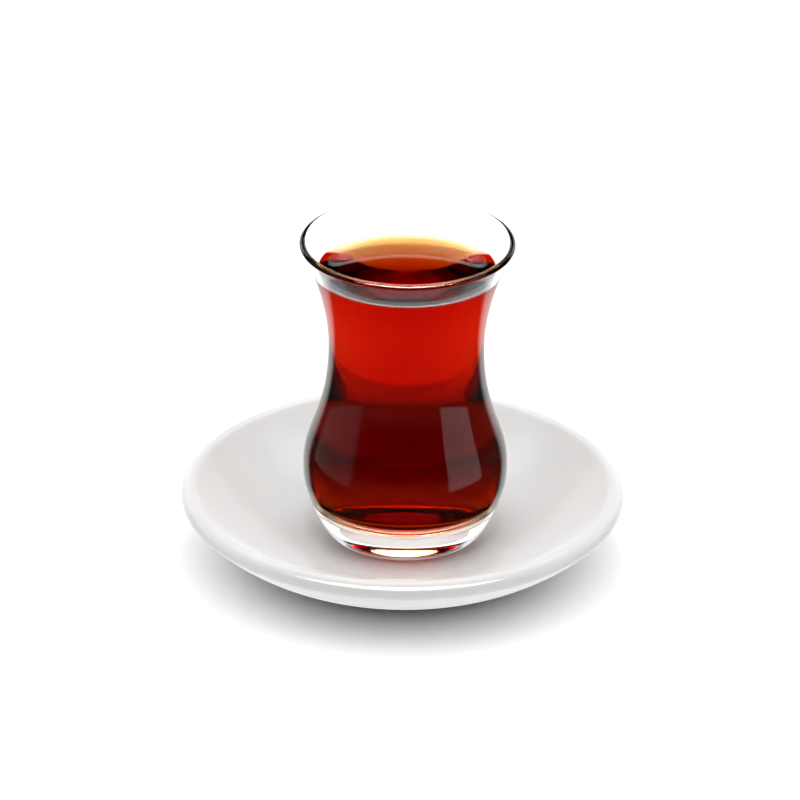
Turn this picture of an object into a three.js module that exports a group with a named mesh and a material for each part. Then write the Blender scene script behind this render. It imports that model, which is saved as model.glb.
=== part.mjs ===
import * as THREE from "three";

// A waisted tea glass, filled with tea, on its round saucer.
// Sizes are in millimetres, +Z is up, and the origin is under the saucer's centre at its foot.

const FLATS = 56; // flats round every turned piece

// Saucer: a flat well, a dished wall, a thick rounded lip and a foot ring.
const SAUCER_R = 60.2;
const SAUCER_H = 20;
const SEAT_Z = 6.5; // top of the well, on which the glass stands
const WELL_R = 27;
const LIP_R = 2.7; // radius of the lip's rounding
const LIP_IN_DEG = 120; // where the dished wall runs into the lip
const LIP_OUT_DEG = -45; // where the underside leaves the lip
const UNDER_Z = 1.9; // underside where it meets the foot ring
const UNDER_FLAT_R = 43; // the underside leaves the foot ring level, and heads for this radius
const UNDER_LIP_RUN = 8.9; // how far the underside follows the lip's direction
const FOOT_OUT_R = 32;
const FOOT_IN_R = 29;
const FOOT_ROUND = 0.6;
const FOOT_FILLET = 1; // between the foot ring and the underside
const RECESS_Z = 2.4; // underside inside the foot ring

// Glass, measured from the well up: foot, seam, belly, waist and flared mouth.
const GLASS_SHIFT_X = 0.7; // the glass stands a little off the saucer's centre
const WALL = 1.8;
const REST_IN_R = 16.5; // flat ring on which the glass rests
const REST_OUT_R = 19;
const REST_RUN_OUT = 2.6; // how far the foot's rounding runs out level
const SEAM_RUN_IN = 3.15; // and how far its cone comes in below the seam, down to a height
const SEAM_RUN_IN_Z = 3.4;
const PUNT_H = 1; // hollow under the thick bottom
const PUNT_FLAT_R = 10; // level part of that hollow
const BOTTOM = 7; // thickness of glass in the middle of the bottom
const BOTTOM_FLAT_R = 17.5; // the inner bottom leaves the axis level, and heads for this radius
const BOTTOM_TOP_Z = 14.7; // lowest point of the inner wall, where the bottom's bowl ends
const BOTTOM_TOP_RUN = 4.2; // how far the bowl follows its lean there
const BOTTOM_TOP_LEAN_DEG = 17;
const SEAM_R = 26.05; // seam where the thick bottom ends
const SEAM_Z = 9.7;
const SEAM_LEAN_DEG = 13.7;
const BELLY_R = 27.84;
const BELLY_Z = 20.1;
const WAIST_R = 21.06;
const WAIST_Z = 55.5;
const MOUTH_R = 28.8; // outer edge of the mouth, where the rounded rim starts
const MOUTH_Z = 84.8;
const MOUTH_LEAN_DEG = 32;

// How far the wall's curve follows its direction, below and above each of these heights.
const SEAM_RUN_UP = 5;
const BELLY_RUN_DOWN = 5;
const BELLY_RUN_UP = 10.9;
const WAIST_RUN_DOWN = 20.3;
const WAIST_RUN_UP = 12.3;
const MOUTH_RUN_DOWN = 4.5;

// Tea
const TEA_LEVEL = 77.4; // above the well
const GAP = 0.3; // between the tea and the glass

const v = (r, z) => new THREE.Vector2(r, z);
const rad = THREE.MathUtils.degToRad;
const bezier = (a, b, c, d) => new THREE.CubicBezierCurve(a, b, c, d);
const bend = (a, b, c) => new THREE.QuadraticBezierCurve(a, b, c);

// A point moved by a length in the direction that leans out from upright by an angle.
function leaning(point, length, deg) {
  return v(point.x + length * Math.sin(rad(deg)), point.y + length * Math.cos(rad(deg)));
}

// Points of a circular arc, from one angle to another.
function arc(centre, radius, fromDeg, toDeg, steps) {
  return Array.from({ length: steps + 1 }, (_, i) => {
    const a = rad(fromDeg + ((toDeg - fromDeg) * i) / steps);
    return v(centre.x + radius * Math.cos(a), centre.y + radius * Math.sin(a));
  });
}

// The outer wall above the seam, as three stretches that meet smoothly.
const SEAM = v(SEAM_R, SEAM_Z);
const BELLY = v(BELLY_R, BELLY_Z);
const WAIST = v(WAIST_R, WAIST_Z);
const MOUTH = v(MOUTH_R, MOUTH_Z);
const WALL_STRETCHES = [
  {
    curve: bezier(SEAM, leaning(SEAM, SEAM_RUN_UP, SEAM_LEAN_DEG), leaning(BELLY, -BELLY_RUN_DOWN, 0), BELLY),
    steps: 4,
  },
  {
    curve: bezier(BELLY, leaning(BELLY, BELLY_RUN_UP, 0), leaning(WAIST, -WAIST_RUN_DOWN, 0), WAIST),
    steps: 8,
  },
  {
    curve: bezier(WAIST, leaning(WAIST, WAIST_RUN_UP, 0), leaning(MOUTH, -MOUTH_RUN_DOWN, MOUTH_LEAN_DEG), MOUTH),
    steps: 8,
  },
];

// Points up the wall, moved inwards from the outer face by a depth.
function wallPoints(depth) {
  const points = [];
  WALL_STRETCHES.forEach(({ curve, steps }, stretch) => {
    for (let i = stretch === 0 ? 0 : 1; i <= steps; i++) {
      const p = curve.getPoint(i / steps);
      const t = curve.getTangent(i / steps);
      points.push(v(p.x - depth * t.y, p.y + depth * t.x));
    }
  });
  return points;
}

// The inside of the glass from the axis out and up, at a depth from the wall's outer face.
// A lift raises the bowl-shaped bottom and draws it in, for what stands clear of the glass.
function insidePoints(depth, lift) {
  const wall = wallPoints(depth).filter((p) => p.y > BOTTOM_TOP_Z);
  const floor = BOTTOM + lift;
  const bowlEdge = leaning(wall[0], -BOTTOM_TOP_RUN, BOTTOM_TOP_LEAN_DEG);
  const bowl = bezier(v(0, floor), v(BOTTOM_FLAT_R - lift, floor), bowlEdge, wall[0]);
  return [...bowl.getPoints(7), ...wall.slice(1)];
}

// A solid turned about the upright axis from its outline, given from the bottom outwards.
function turned(outline, name, colour, roughness, opacity = 1) {
  const geometry = new THREE.LatheGeometry(outline, FLATS);
  geometry.rotateX(Math.PI / 2);
  const material = new THREE.MeshStandardMaterial({
    color: colour,
    roughness,
    metalness: 0,
    transparent: opacity < 1,
    opacity,
  });
  const mesh = new THREE.Mesh(geometry, material);
  mesh.name = name;
  return mesh;
}

function saucerOutline() {
  const lip = arc(v(SAUCER_R - LIP_R, SAUCER_H - LIP_R), LIP_R, LIP_OUT_DEG, LIP_IN_DEG, 11);
  const lipFoot = lip[0];
  const lipTop = lip[lip.length - 1];
  const footTop = v(FOOT_OUT_R + FOOT_FILLET, UNDER_Z);
  const under = bezier(footTop, v(UNDER_FLAT_R, UNDER_Z), leaning(lipFoot, -UNDER_LIP_RUN, -LIP_OUT_DEG), lipFoot);
  const dish = bend(lipTop, v((WELL_R + lipTop.x) / 2, SEAT_Z), v(WELL_R, SEAT_Z));
  return [
    v(0, RECESS_Z),
    v(FOOT_IN_R - FOOT_FILLET, RECESS_Z),
    v(FOOT_IN_R, FOOT_ROUND),
    v(FOOT_IN_R + FOOT_ROUND, 0),
    v(FOOT_OUT_R - FOOT_ROUND, 0),
    v(FOOT_OUT_R, FOOT_ROUND),
    ...under.getPoints(7),
    ...lip.slice(1),
    ...dish.getPoints(8).slice(1),
    v(0, SEAT_Z),
  ];
}

function glassOutline() {
  const punt = bend(v(0, PUNT_H), v(PUNT_FLAT_R, PUNT_H), v(REST_IN_R, 0));
  const footEdge = v(REST_OUT_R + REST_RUN_OUT, 0);
  const foot = bezier(v(REST_OUT_R, 0), footEdge, v(SEAM_R - SEAM_RUN_IN, SEAM_RUN_IN_Z), SEAM);
  const inside = insidePoints(WALL, 0);
  const rimCentre = MOUTH.clone().add(inside[inside.length - 1]).divideScalar(2);
  const rim = arc(rimCentre, WALL / 2, -MOUTH_LEAN_DEG, 180 - MOUTH_LEAN_DEG, 6);
  return [
    ...punt.getPoints(4),
    ...foot.getPoints(6),
    ...wallPoints(0).slice(1),
    ...rim.slice(1, -1),
    ...inside.reverse(),
  ];
}

function teaOutline() {
  const inside = insidePoints(WALL + GAP, GAP);
  const above = inside.findIndex((p) => p.y >= TEA_LEVEL);
  const low = inside[above - 1];
  const edge = low.clone().lerp(inside[above], (TEA_LEVEL - low.y) / (inside[above].y - low.y));
  return [...inside.slice(0, above), edge, v(0, TEA_LEVEL)];
}

const part = new THREE.Group();
part.add(turned(saucerOutline(), "saucer", 0xf2f1ef, 0.08));

const drink = new THREE.Group();
drink.position.set(GLASS_SHIFT_X, 0, SEAT_Z);
drink.add(turned(glassOutline(), "glass", 0xf4f7f7, 0.02, 0.3));
drink.add(turned(teaOutline(), "tea", 0x9a1206, 0.05, 0.9));
part.add(drink);

export default part;
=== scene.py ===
import math

import bpy
import numpy as np
from mathutils import Matrix, Vector


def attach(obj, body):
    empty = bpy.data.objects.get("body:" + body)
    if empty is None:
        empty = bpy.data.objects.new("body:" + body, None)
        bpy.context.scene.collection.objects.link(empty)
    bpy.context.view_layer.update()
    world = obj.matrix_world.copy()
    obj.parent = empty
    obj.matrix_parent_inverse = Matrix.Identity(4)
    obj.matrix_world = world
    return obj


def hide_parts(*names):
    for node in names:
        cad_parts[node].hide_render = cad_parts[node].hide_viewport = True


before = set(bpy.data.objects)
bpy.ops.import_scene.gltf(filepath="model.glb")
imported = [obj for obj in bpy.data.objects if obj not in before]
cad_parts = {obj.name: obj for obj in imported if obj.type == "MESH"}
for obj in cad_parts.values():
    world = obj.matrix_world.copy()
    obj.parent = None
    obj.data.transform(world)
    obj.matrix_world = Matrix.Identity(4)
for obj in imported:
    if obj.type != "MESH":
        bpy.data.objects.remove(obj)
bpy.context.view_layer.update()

MM = 0.001
TURNS = 288  # flats round every turned piece, many more than the solids have

# Saucer, in millimetres
SAUCER_R, SAUCER_H, SEAT_Z, WELL_R = 60.2, 20.0, 6.5, 27.0
LIP_R, LIP_IN_DEG, LIP_OUT_DEG = 2.7, 120.0, -45.0
UNDER_Z, UNDER_FLAT_R, UNDER_LIP_RUN = 1.9, 43.0, 8.9
FOOT_OUT_R, FOOT_IN_R, FOOT_ROUND, FOOT_FILLET, RECESS_Z = 32.0, 29.0, 0.6, 1.0, 2.4

# Glass, measured from the saucer's well up
GLASS_SHIFT_X, WALL = 0.7, 1.8
REST_IN_R, REST_OUT_R, REST_RUN_OUT = 16.5, 19.0, 2.6
SEAM_RUN_IN, SEAM_RUN_IN_Z = 3.15, 3.4
PUNT_H, PUNT_FLAT_R = 1.0, 10.0
BOTTOM, BOTTOM_FLAT_R, BOTTOM_TOP_Z = 7.0, 17.5, 14.7
BOTTOM_TOP_RUN, BOTTOM_TOP_LEAN_DEG = 4.2, 17.0
SEAM_R, SEAM_Z, SEAM_LEAN_DEG = 26.05, 9.7, 13.7
BELLY_R, BELLY_Z, WAIST_R, WAIST_Z = 27.84, 20.1, 21.06, 55.5
MOUTH_R, MOUTH_Z, MOUTH_LEAN_DEG = 28.8, 84.8, 32.0
SEAM_RUN_UP, BELLY_RUN_DOWN, BELLY_RUN_UP = 5.0, 5.0, 10.9
WAIST_RUN_DOWN, WAIST_RUN_UP, MOUTH_RUN_DOWN = 20.3, 12.3, 4.5

# Tea
TEA_LEVEL = 77.2
MENISCUS_H = 1.0  # how far the tea climbs the glass
MENISCUS_RUN = 2.0  # over which that climb falls off by a factor of e
MENISCUS_END = 16.0  # past this, inwards from the wall, the surface is as good as level
TEA_EDGE_Z = TEA_LEVEL + MENISCUS_H  # where the tea leaves the glass
SOAK = 0.15  # how far the tea's piece reaches into the glass

REST_LIFT = 0.03  # keeps the glass's foot just clear of the well
AXIS_R = 1e-6  # an outline's point nearer the axis than this is on it

GLASS_IOR = 1.5
TEA_IOR = 1.333
TEA_COLOUR = (0.948, 0.667, 0.042)
TEA_DENSITY = 480.0
PAINTED_BELLY_SHADE = 0.13  # painted shade: share of light left after crossing the wetted wall twice, round the belly
PAINTED_SHADE_STOPS = [(8.9, 1.0), (10.6, PAINTED_BELLY_SHADE), (29.8, PAINTED_BELLY_SHADE), (33.0, 1.0)]  # heights above the well
PAINTED_SHADE_SPAN = 50.0  # heights that the painted shade's ramp covers


def bezier(a, b, c, d, steps):
    """Points of a cubic curve, and its directions."""
    t = np.linspace(0, 1, steps + 1)[:, None]
    a, b, c, d = (np.array(p, float) for p in (a, b, c, d))
    s = 1 - t
    points = s**3 * a + 3 * s**2 * t * b + 3 * s * t**2 * c + t**3 * d
    run = 3 * s**2 * (b - a) + 6 * s * t * (c - b) + 3 * t**2 * (d - c)
    return points, run / np.linalg.norm(run, axis=1)[:, None]


def bend(a, b, c, steps):
    """Points of a quadratic curve."""
    t = np.linspace(0, 1, steps + 1)[:, None]
    a, b, c = (np.array(p, float) for p in (a, b, c))
    return (1 - t) ** 2 * a + 2 * t * (1 - t) * b + t**2 * c


def leaning(point, length, deg):
    """A point moved by a length in the direction that leans out from upright by an angle."""
    a = math.radians(deg)
    return (point[0] + length * math.sin(a), point[1] + length * math.cos(a))


def arc(centre, radius, start, end, steps):
    """Points of a circular arc between two angles in degrees."""
    a = np.radians(np.linspace(start, end, steps + 1))
    return np.stack([centre[0] + radius * np.cos(a), centre[1] + radius * np.sin(a)], 1)


SEAM, BELLY = (SEAM_R, SEAM_Z), (BELLY_R, BELLY_Z)
WAIST, MOUTH = (WAIST_R, WAIST_Z), (MOUTH_R, MOUTH_Z)
SEAM_UP = leaning(SEAM, SEAM_RUN_UP, SEAM_LEAN_DEG)
BELLY_DOWN, BELLY_UP = leaning(BELLY, -BELLY_RUN_DOWN, 0), leaning(BELLY, BELLY_RUN_UP, 0)
WAIST_DOWN, WAIST_UP = leaning(WAIST, -WAIST_RUN_DOWN, 0), leaning(WAIST, WAIST_RUN_UP, 0)
MOUTH_DOWN = leaning(MOUTH, -MOUTH_RUN_DOWN, MOUTH_LEAN_DEG)
STRETCHES = [  # of the outer wall, each a curve and its steps
    (SEAM, SEAM_UP, BELLY_DOWN, BELLY, 16),
    (BELLY, BELLY_UP, WAIST_DOWN, WAIST, 40),
    (WAIST, WAIST_UP, MOUTH_DOWN, MOUTH, 44),
]


def wall_points(depth):
    """Points up the wall, moved inwards from the outer face by a depth."""
    rows = []
    for i, stretch in enumerate(STRETCHES):
        p, t = bezier(*stretch)
        q = p + depth * np.stack([-t[:, 1], t[:, 0]], 1)
        rows.append(q if i == 0 else q[1:])
    return np.concatenate(rows)


def inside_points(depth):
    """The inside of the glass from the axis out and up, at a depth from the wall's outer face.

    A depth below the wall's thickness gives an outline sunk into the glass.
    """
    sink = WALL - depth
    wall = wall_points(depth)
    wall = wall[wall[:, 1] > BOTTOM_TOP_Z]
    edge = leaning(wall[0], -BOTTOM_TOP_RUN, BOTTOM_TOP_LEAN_DEG)
    floor = BOTTOM - sink
    bowl, _ = bezier((0, floor), (BOTTOM_FLAT_R + sink, floor), edge, wall[0], 44)
    return np.concatenate([bowl, wall[1:]])


def cut_at(points, z):
    """A rising outline's part below a height and its part above, each with a point there."""
    i = int(np.argmax(points[:, 1] >= z))
    low, high = points[i - 1], points[i]
    edge = low + (high - low) * (z - low[1]) / (high[1] - low[1])
    return np.vstack([points[:i], edge]), np.vstack([edge, points[i:]])


def saucer_outline():
    """The saucer's outline from under its middle out, over the lip and back in to the axis."""
    lip = arc((SAUCER_R - LIP_R, SAUCER_H - LIP_R), LIP_R, LIP_OUT_DEG, LIP_IN_DEG, 33)
    foot_top = (FOOT_OUT_R + FOOT_FILLET, UNDER_Z)
    lip_foot = tuple(lip[0])
    under_end = leaning(lip_foot, -UNDER_LIP_RUN, -LIP_OUT_DEG)
    under, _ = bezier(foot_top, (UNDER_FLAT_R, UNDER_Z), under_end, lip_foot, 30)
    lip_top = tuple(lip[-1])
    dish = bend(lip_top, ((WELL_R + lip_top[0]) / 2, SEAT_Z), (WELL_R, SEAT_Z), 40)
    foot_in = arc((FOOT_IN_R + FOOT_ROUND, FOOT_ROUND), FOOT_ROUND, 180, 270, 6)
    foot_out = arc((FOOT_OUT_R - FOOT_ROUND, FOOT_ROUND), FOOT_ROUND, 270, 360, 6)
    fillet_in = arc((FOOT_IN_R - FOOT_FILLET, RECESS_Z - FOOT_FILLET), FOOT_FILLET, 90, 0, 6)
    fillet_out = bend((FOOT_OUT_R, UNDER_Z - FOOT_FILLET), (FOOT_OUT_R, UNDER_Z), foot_top, 6)
    recess = [(r, RECESS_Z) for r in np.linspace(0, FOOT_IN_R - FOOT_FILLET, 10)[:-1]]
    well = [(r, SEAT_Z) for r in np.linspace(WELL_R, 0, 14)[1:]]
    foot = [recess, fillet_in, foot_in, foot_out, fillet_out]
    return np.vstack([*foot, under[1:], lip[1:], dish[1:], well])


def glass_outline():
    """The outline, and how many of its last stretches are wetted by the tea."""
    punt = bend((0, PUNT_H), (PUNT_FLAT_R, PUNT_H), (REST_IN_R, 0), 20)
    rest = [(r, 0) for r in np.linspace(REST_IN_R, REST_OUT_R, 4)[1:]]
    foot_edge = (REST_OUT_R + REST_RUN_OUT, 0)
    foot_cone = (SEAM_R - SEAM_RUN_IN, SEAM_RUN_IN_Z)
    foot, _ = bezier((REST_OUT_R, 0), foot_edge, foot_cone, SEAM, 30)
    inside = inside_points(WALL)
    rim_centre = (np.array(MOUTH) + inside[-1]) / 2
    rim = arc(rim_centre, WALL / 2, -MOUTH_LEAN_DEG, 180 - MOUTH_LEAN_DEG, 20)
    wet, dry = cut_at(inside, TEA_EDGE_Z)
    wet, dry = wet[::-1], dry[::-1]
    outline = np.vstack([punt, rest, foot[1:], wall_points(0)[1:], rim[1:-1], dry, wet[1:]])
    outline[outline[:, 1] < REST_LIFT, 1] = REST_LIFT
    return outline, len(wet) - 1


def tea_outline():
    """The outline, and how many of its first stretches lie in the glass."""
    soaked, _ = cut_at(inside_points(WALL - SOAK), TEA_EDGE_Z)
    edge = cut_at(inside_points(WALL), TEA_EDGE_Z)[0][-1]
    inwards = np.linspace(0, 1, 60) ** 2 * MENISCUS_END  # steps are finest at the wall
    inwards = np.append(inwards, np.linspace(MENISCUS_END, edge[0], 24)[1:])
    climb = MENISCUS_H * np.exp(-inwards / MENISCUS_RUN)
    top = np.stack([edge[0] - inwards, TEA_LEVEL + climb], 1)
    top[-1] = (0, TEA_LEVEL)
    return np.vstack([soaked, top]), len(soaked)


def turned(outline, name, shift=(0, 0, 0)):
    """An object turned about the upright axis, and each face's stretch of the outline.

    The outline's points on the axis are single vertices, and the mesh is moved by a shift.
    """
    angles = np.linspace(0, 2 * math.pi, TURNS, endpoint=False)
    cos, sin = np.cos(angles), np.sin(angles)
    sx, sy, sz = shift
    verts, rows = [], []
    for r, z in outline:
        if r < AXIS_R:
            rows.append([len(verts)] * TURNS)
            verts.append((sx, sy, z + sz))
        else:
            rows.append(list(range(len(verts), len(verts) + TURNS)))
            verts += [(r * c + sx, r * s + sy, z + sz) for c, s in zip(cos, sin)]
    faces, bands = [], []
    for k in range(len(rows) - 1):
        low, high = rows[k], rows[k + 1]
        for i in range(TURNS):
            j = (i + 1) % TURNS
            face = list(dict.fromkeys((low[i], low[j], high[j], high[i])))
            if len(face) > 2:
                faces.append(face)
                bands.append(k)
    mesh = bpy.data.meshes.new(name)
    mesh.from_pydata([tuple(MM * c for c in p) for p in verts], [], faces)
    mesh.polygons.foreach_set("use_smooth", [True] * len(faces))
    mesh.update()
    obj = bpy.data.objects.new(name, mesh)
    bpy.context.scene.collection.objects.link(obj)
    return obj, bands


def node_material(name):
    """A new material, its nodes and its shader."""
    material = bpy.data.materials.new(name)
    material.use_nodes = True
    tree = material.node_tree
    return material, tree, tree.nodes["Principled BSDF"]


def link(tree, a, out, b, into):
    tree.links.new(a.outputs[out], b.inputs[into])


def noise(tree, scale, detail=3.0):
    """A noise texture in the object's own coordinates."""
    place = tree.nodes.new("ShaderNodeTexCoord")
    texture = tree.nodes.new("ShaderNodeTexNoise")
    texture.inputs["Scale"].default_value = scale
    texture.inputs["Detail"].default_value = detail
    link(tree, place, "Object", texture, "Vector")
    return texture


def ramp(tree, texture, low, high, into, socket):
    """A colour that wanders between two by a texture."""
    mix = tree.nodes.new("ShaderNodeValToRGB")
    for stop, position, colour in zip(mix.color_ramp.elements, (0.3, 0.7), (low, high)):
        stop.position = position
        stop.color = (*colour, 1)
    link(tree, texture, "Fac", mix, "Fac")
    link(tree, mix, "Color", into, socket)


def glaze_material():
    """White glaze, very slightly uneven in tone and surface."""
    material, tree, shader = node_material("white_glaze")
    ramp(tree, noise(tree, 35), (0.77, 0.765, 0.755), (0.80, 0.795, 0.785), shader, "Base Color")
    shader.inputs["Roughness"].default_value = 0.12
    shader.inputs["Specular IOR Level"].default_value = 0.2
    shader.inputs["IOR"].default_value = 1.5
    bump = tree.nodes.new("ShaderNodeBump")
    bump.inputs["Strength"].default_value = 0.04
    bump.inputs["Distance"].default_value = 0.002
    link(tree, noise(tree, 18, 1.0), "Fac", bump, "Height")
    link(tree, bump, "Normal", shader, "Normal")
    return material


def clear_material(name, ior):
    """A material that lets light through, with its nodes and its shader."""
    material, tree, shader = node_material(name)
    shader.inputs["Roughness"].default_value = 0.0
    shader.inputs["Transmission Weight"].default_value = 1.0
    shader.inputs["IOR"].default_value = ior
    return material, tree, shader


def glass_material():
    """Clear glass against air."""
    material, tree, shader = clear_material("clear_glass", GLASS_IOR)
    ramp(tree, noise(tree, 20), (0.985, 0.99, 0.99), (0.995, 1.0, 1.0), shader, "Base Color")
    return material


def wet_material():
    """Glass against tea, tinted grey round the belly: painted shade that darkens what is seen
    through the belly.
    """
    material, tree, shader = clear_material("wet_glass", GLASS_IOR / TEA_IOR)
    place = tree.nodes.new("ShaderNodeTexCoord")
    split = tree.nodes.new("ShaderNodeSeparateXYZ")
    link(tree, place, "Object", split, "Vector")
    height = tree.nodes.new("ShaderNodeMapRange")
    height.inputs["From Min"].default_value = MM * SEAT_Z
    height.inputs["From Max"].default_value = MM * (SEAT_Z + PAINTED_SHADE_SPAN)
    link(tree, split, "Z", height, "Value")
    # painted shade: grey by height on the wetted wall, darkest round the belly
    painted_shade = tree.nodes.new("ShaderNodeValToRGB")
    stops = painted_shade.color_ramp.elements
    for i, (z, value) in enumerate(PAINTED_SHADE_STOPS):
        stop = stops[i] if i < 2 else stops.new(z / PAINTED_SHADE_SPAN)
        stop.position = z / PAINTED_SHADE_SPAN
        stop.color = (value, value, value, 1)
    link(tree, height, "Result", painted_shade, "Fac")
    link(tree, painted_shade, "Color", shader, "Base Color")
    return material


def tea_material():
    """Clear red-brown liquid. Where its piece lies in the glass, light passes its skin unbent."""
    material, tree, shader = clear_material("black_tea", TEA_IOR)
    shader.inputs["Base Color"].default_value = (1, 1, 1, 1)
    soaked = tree.nodes.new("ShaderNodeAttribute")
    soaked.attribute_name = "soaked"
    ior = tree.nodes.new("ShaderNodeMapRange")
    ior.inputs["To Min"].default_value = TEA_IOR
    ior.inputs["To Max"].default_value = 1.0
    link(tree, soaked, "Fac", ior, "Value")
    link(tree, ior, "Result", shader, "IOR")
    volume = tree.nodes.new("ShaderNodeVolumeAbsorption")
    volume.inputs["Color"].default_value = (*TEA_COLOUR, 1)
    volume.inputs["Density"].default_value = TEA_DENSITY
    link(tree, volume, "Volume", tree.nodes["Material Output"], "Volume")
    return material


def own(obj, node, slot, *materials):
    """Gives a piece its materials and its body, and hides the solid that it replaces. The slot is
    not used.
    """
    for material in materials:
        obj.data.materials.append(material)
    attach(obj, "root")
    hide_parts(node)


saucer, _ = turned(saucer_outline(), "glazed_saucer")
own(saucer, "saucer", "saucer", glaze_material())

STAND = (GLASS_SHIFT_X, 0, SEAT_Z)
outline, wet = glass_outline()
glass, bands = turned(outline, "clear_glass", STAND)
own(glass, "glass", "glass", glass_material(), wet_material())
first_wet = len(outline) - 1 - wet
glass.data.polygons.foreach_set("material_index", [int(k >= first_wet) for k in bands])

outline, in_glass = tea_outline()
tea, bands = turned(outline, "tea_liquid", STAND)
own(tea, "tea", "tea", tea_material())
soaked = tea.data.attributes.new("soaked", "FLOAT", "FACE")
soaked.data.foreach_set("value", [float(k < in_glass) for k in bands])


# Floor
def floor_plane(side, material):
    """A level square at the height on which the part stands."""
    mesh = bpy.data.meshes.new("floor")
    h = side / 2
    mesh.from_pydata([(-h, -h, 0), (h, -h, 0), (h, h, 0), (-h, h, 0)], [], [(0, 1, 2, 3)])
    mesh.materials.append(material)
    obj = bpy.data.objects.new("floor", mesh)
    bpy.context.scene.collection.objects.link(obj)
    return obj


material, tree, shader = node_material("pale_floor")
ramp(tree, noise(tree, 3), (0.90, 0.90, 0.90), (0.91, 0.91, 0.91), shader, "Base Color")
shader.inputs["Roughness"].default_value = 0.9
shader.inputs["Specular IOR Level"].default_value = 0.0
floor = floor_plane(8, material)
for obj in (floor, saucer):
    obj.visible_glossy = False

# Surroundings. Mirror reflections, light bent through glass and light on matt surfaces each see
# them in a way of their own.
NO_LIMIT = 2.0  # more than any part of a direction
AMBIENT = 0.65  # brightness for matt surfaces, against 1 for all else
RIGHT_BOARD, LEFT_BOARD = 0.8, 0.2  # brightness of the boards at the sides
BELOW = 0.35  # brightness of what lies straight below
FRONT_PANEL = 40.0  # brightness of the panel above the front
BACK_PANEL = 0.06  # that of the panel above the back, as a share of the front one's
BENT_GAIN = 1.3  # brightness that the sweep behind adds for bent light
BENT_PANEL = 10.0  # brightness of the panel overhead, in that of the sweep

world = bpy.data.worlds.new("studio")
bpy.context.scene.world = world
world.use_nodes = True
sky = world.node_tree


def number(kind, *values):
    """A Math node of the surroundings, on numbers or other nodes' outputs."""
    made = sky.nodes.new("ShaderNodeMath")
    made.operation = kind
    for socket, value in zip(made.inputs, values):
        if isinstance(value, bpy.types.NodeSocket):
            sky.links.new(value, socket)
        else:
            socket.default_value = value
    return made.outputs[0]


def times(a, b):
    """A product in the surroundings."""
    return number("MULTIPLY", a, b)


def slope(value, start, end, first, last):
    """A smooth run from a first to a last level, while a value runs from a start to an end."""
    made = sky.nodes.new("ShaderNodeMapRange")
    made.interpolation_type = "SMOOTHSTEP"
    ends = {"From Min": start, "From Max": end, "To Min": first, "To Max": last}
    for socket, amount in ends.items():
        made.inputs[socket].default_value = amount
    sky.links.new(value, made.inputs["Value"])
    return made.outputs[0]


def band(value, low, high, soft):
    """One between two limits, falling to nothing over a soft width outside them."""
    return times(slope(value, low - soft, low, 0.0, 1.0), slope(value, high, high + soft, 1.0, 0.0))


# A direction's parts: x to the right, y away from the camera's side and z up
place = sky.nodes.new("ShaderNodeTexCoord")
split = sky.nodes.new("ShaderNodeSeparateXYZ")
link(sky, place, "Generated", split, "Vector")
x, y, z = split.outputs
flat = number("SQRT", number("ADD", times(x, x), times(y, y)))
toward = number("DIVIDE", times(y, -1.0), flat)  # 1 towards the camera's side, -1 away
ray = sky.nodes.new("ShaderNodeLightPath")
bent = ray.outputs["Is Transmission Ray"]

# Mirrored: dark, with a board at either side, pale behind, dim straight below and panels above
right_board = times(band(toward, -0.035, 0.656, 0.015), band(x, 0.0, NO_LIMIT, 0.01))
left_board = times(band(toward, -0.5, 0.44, 0.06), band(x, -NO_LIMIT, 0.0, 0.01))
boards = number("ADD", times(right_board, RIGHT_BOARD), times(left_board, LEFT_BOARD))
boards = times(boards, band(z, -0.22, 0.4, 0.01))
behind = times(band(toward, -NO_LIMIT, -0.8, 0.15), band(z, -NO_LIMIT, 0.33, 0.05))
below = times(band(z, -NO_LIMIT, -0.95, 0.02), BELOW)
front_panel = times(band(z, 0.55, NO_LIMIT, 0.05), band(y, -NO_LIMIT, -0.45, 0.05))
back_panel = times(band(z, 0.75, NO_LIMIT, 0.05), band(y, 0.2, 0.6, 0.05))
panels = number("MULTIPLY_ADD", back_panel, BACK_PANEL, front_panel)
mirrored = number("ADD", boards, number("MAXIMUM", behind, below))
mirrored = number("MULTIPLY_ADD", panels, FRONT_PANEL, mirrored)

# All else: pale, but dark to the front. Bent light also meets a dark strip behind, a brighter
# sweep below it and a bright panel overhead, which is left out where it would light matt surfaces.
gap = times(times(band(z, 0.42, 0.61, 0.03), band(y, 0.7, NO_LIMIT, 0.05)), bent)
front = band(y, -NO_LIMIT, -0.6, 0.3)
pale = number("SUBTRACT", 1.0, number("MAXIMUM", gap, front))
sweep = times(band(z, 0.1, 0.36, 0.03), band(y, 0.5, NO_LIMIT, 0.1))
no_matt = number("LESS_THAN", ray.outputs["Diffuse Depth"], 0.5)
bright = number("MULTIPLY_ADD", times(band(z, 0.8, NO_LIMIT, 0.04), no_matt), BENT_PANEL, sweep)
pale = number("MULTIPLY_ADD", times(bright, bent), BENT_GAIN, pale)
pale = times(pale, number("MULTIPLY_ADD", ray.outputs["Is Diffuse Ray"], AMBIENT - 1.0, 1.0))

# Light bent by polished glass counts as glossy too, so a mirror's ray is glossy and not bent
mirror = times(ray.outputs["Is Glossy Ray"], number("SUBTRACT", 1.0, bent))
rest = times(pale, number("SUBTRACT", 1.0, mirror))
background = sky.nodes["Background"]
background.inputs["Color"].default_value = (1, 1, 1, 1)
sky.links.new(number("ADD", rest, times(mirrored, mirror)), background.inputs["Strength"])


# Lamps
def group(name, *objects):
    """A collection of objects, for lamps that light or are blocked by those alone."""
    made = bpy.data.collections.new(name)
    for obj in objects:
        made.objects.link(obj)
    return made


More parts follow.
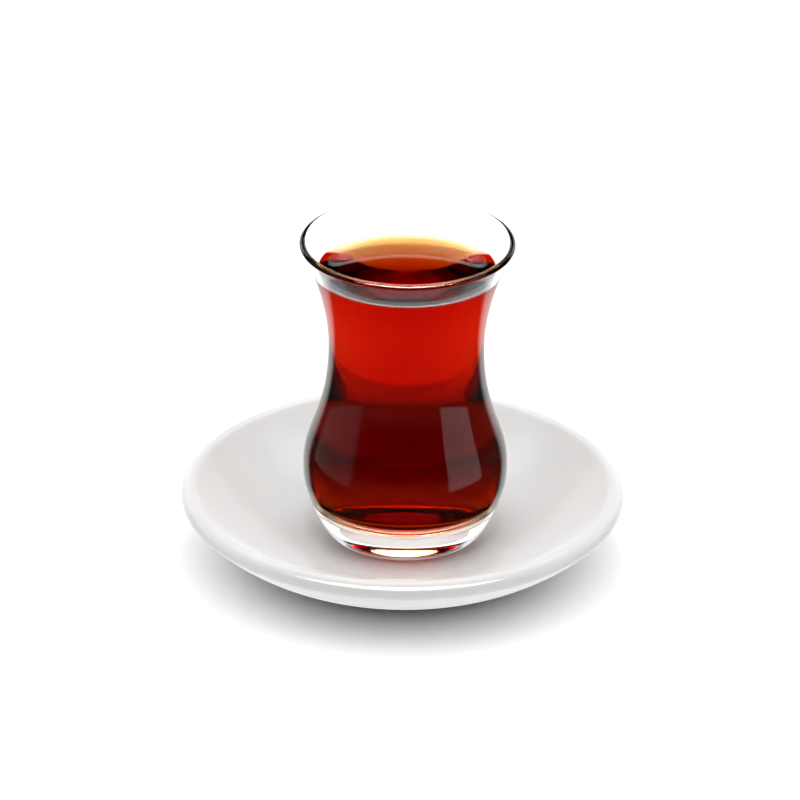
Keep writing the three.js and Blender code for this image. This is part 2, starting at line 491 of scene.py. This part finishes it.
def lamp(kind, name, location, target, power, lit):
    """A lamp that lights a group of objects alone. Neither mirrors nor glass show it."""
    light = bpy.data.lights.new(name, kind)
    light.energy = power
    obj = bpy.data.objects.new(name, light)
    obj.location = location
    aim = Vector(target) - Vector(location)
    obj.rotation_euler = aim.to_track_quat("-Z", "Y").to_euler()
    bpy.context.scene.collection.objects.link(obj)
    obj.light_linking.receiver_collection = lit
    obj.visible_glossy = obj.visible_transmission = False
    return obj


def softbox(name, location, target, side, power, lit):
    """A square lamp."""
    obj = lamp("AREA", name, location, target, power, lit)
    obj.data.shape = "SQUARE"
    obj.data.size = side
    return obj


def spot(name, location, target, degrees, blend, radius, power, lit):
    """A round lamp with a cone of light."""
    obj = lamp("SPOT", name, location, target, power, lit)
    obj.data.spot_size, obj.data.spot_blend = math.radians(degrees), blend
    obj.data.shadow_soft_size = radius
    return obj


on_part = group("part_lit", saucer, glass, tea)
on_saucer = group("saucer_lit", saucer)
on_floor = group("floor_lit", floor)
softbox("overhead", (0, 0.05, 1.0), (0, 0, 0), 1.2, 11.5, on_part)
softbox("floor_fill", (0, -0.3, 1.0), (0, -0.3, 0), 3.0, 36.5, on_floor)
spot("back_light", (0, 0.8, 1.2), (0, 0.5, 0), 42, 0.6, 0.1, 24, on_floor)


def gathered(name, y, height, degrees, blend, power, colour):
    """A lamp straight above the saucer, for light that glass and tea gather on it.

    It shines past both.
    """
    x = MM * GLASS_SHIFT_X
    obj = spot(name, (x, y, height), (x, y, 0), degrees, blend, 0.005, power, on_saucer)
    obj.data.color = colour
    obj.light_linking.blocker_collection = on_saucer


gathered("through_glass", 0.005, 0.6, 4.2, 0.3, 20, (1, 1, 1))
gathered("through_tea", -0.020, 0.25, 8, 1.0, 0.4, (1.0, 0.05, 0.01))

# Light bounces many times inside the rim and the thick bottom
paths = bpy.context.scene.cycles
paths.max_bounces = paths.glossy_bounces = paths.transmission_bounces = 32

# Camera, fitted to the outlines of the saucer, the glass and its rim in the photo
PHOTO_PX, SIGHT_PX, SENSOR_MM = 800, 5815, 36  # SIGHT_PX is the focal length in pixels
EYE = Vector((0, -1.412, 0.7415))
PITCH, YAW, ROLL = math.radians(26.252), math.radians(-0.036), math.radians(0.58)
level = Vector((math.sin(YAW), math.cos(YAW), 0))
ahead = math.cos(PITCH) * level - math.sin(PITCH) * Vector((0, 0, 1))
right = ahead.cross(Vector((0, 0, 1))).normalized()
up = right.cross(ahead)
side = math.cos(ROLL) * right + math.sin(ROLL) * up
top = -math.sin(ROLL) * right + math.cos(ROLL) * up
lens = bpy.data.cameras.new("camera")
lens.sensor_width = SENSOR_MM
lens.lens = SIGHT_PX / PHOTO_PX * SENSOR_MM
lens.clip_start, lens.clip_end = 0.05, 50
camera = bpy.data.objects.new("camera", lens)
camera.matrix_world = Matrix((side, top, -ahead)).transposed().to_4x4()
camera.location = EYE
bpy.context.scene.collection.objects.link(camera)
bpy.context.scene.camera = camera
bpy.context.scene.view_settings.view_transform = "Standard"
